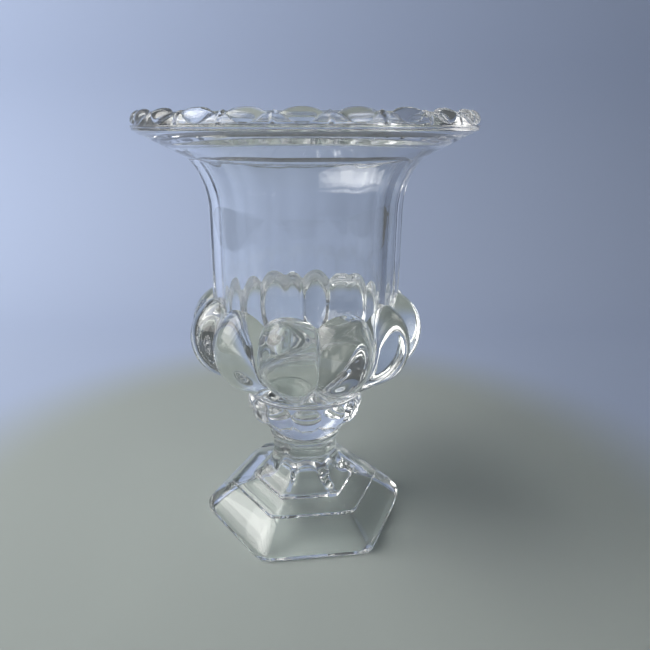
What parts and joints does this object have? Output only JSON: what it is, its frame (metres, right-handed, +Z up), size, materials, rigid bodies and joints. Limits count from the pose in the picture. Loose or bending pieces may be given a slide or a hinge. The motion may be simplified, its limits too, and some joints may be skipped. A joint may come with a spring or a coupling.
{
  "type": "vase",
  "caption": "Clear cut crystal vase: panelled trumpet bowl with a beaded flared rim, petalled calyx, beaded knop and stepped six-sided hollow foot.",
  "frame": {"origin": "on the table, in the middle of the foot's standing edge", "axes": "+Z up along the axis of the vase; -Y toward the viewer, through the middle of one side of the foot"},
  "size_m": [0.167, 0.167, 0.225],
  "materials": {
    "foot_crystal": "clear crystal, pressed hollow, fire polished, ground flat on its standing edge",
    "wafer_crystal": "clear crystal, fire polished",
    "knop_crystal": "clear crystal, pressed drops, fire polished",
    "calyx_crystal": "clear crystal, pressed petals, fire polished",
    "bowl_crystal": "clear crystal, shallow panels, polished"
  },
  "bodies": {
    "root": {"foot": "foot_crystal", "wafer": "wafer_crystal", "knop": "knop_crystal", "calyx": "calyx_crystal", "bowl": "bowl_crystal"}
  },
  "joints": []
}
